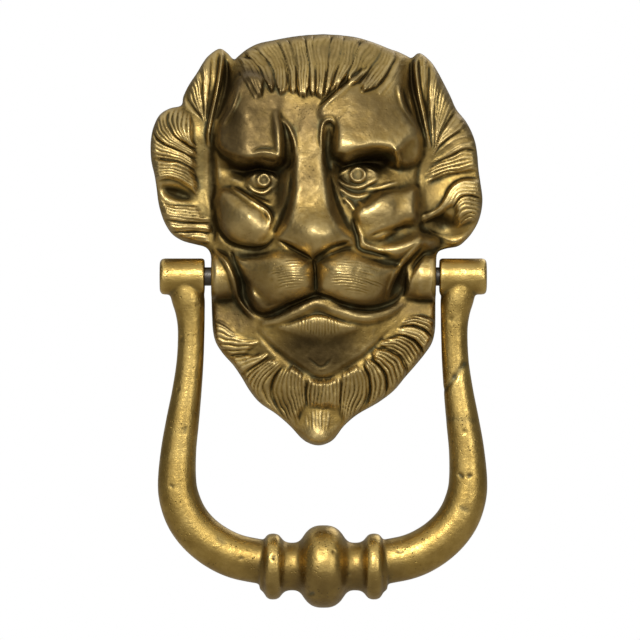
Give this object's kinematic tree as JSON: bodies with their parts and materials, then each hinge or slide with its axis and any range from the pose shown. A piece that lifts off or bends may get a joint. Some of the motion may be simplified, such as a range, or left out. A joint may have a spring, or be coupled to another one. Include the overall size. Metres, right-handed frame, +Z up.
{
  "type": "door knocker",
  "caption": "Cast lion's head door knocker with a swinging bail hung from side lugs, fixed through the door by studs.",
  "frame": {"origin": "centre of the two-stud pattern, on the plane of the door's outer face", "axes": "+Z up, +Y from the knocker's back into the door, so the lion faces -Y; +X is to the right of someone facing the door"},
  "size_m": [0.1347, 0.1006, 0.2297],
  "materials": {
    "mask_brass": "aged satin, dark in the recesses with green verdigris",
    "bail_brass": "aged satin with scratches and pits",
    "pin_steel": "dull grey steel",
    "fixing_steel": "zinc-plated steel"
  },
  "bodies": {
    "mask": {"lion_mask": "mask_brass", "upper_mount_stud": "fixing_steel", "lower_mount_stud": "fixing_steel", "upper_mount_washer": "fixing_steel", "lower_mount_washer": "fixing_steel", "upper_mount_nut": "fixing_steel", "lower_mount_nut": "fixing_steel"},
    "bail": {"bail": "bail_brass", "left_pivot_pin": "pin_steel", "right_pivot_pin": "pin_steel"}
  },
  "joints": [
    {"name": "bail_swing", "type": "hinge", "parent": "mask", "child": "bail", "pos_m": [0, -0.019, -0.0084], "axis": [-1, 0, 0], "range_deg": [-1.2, 138]}
  ]
}
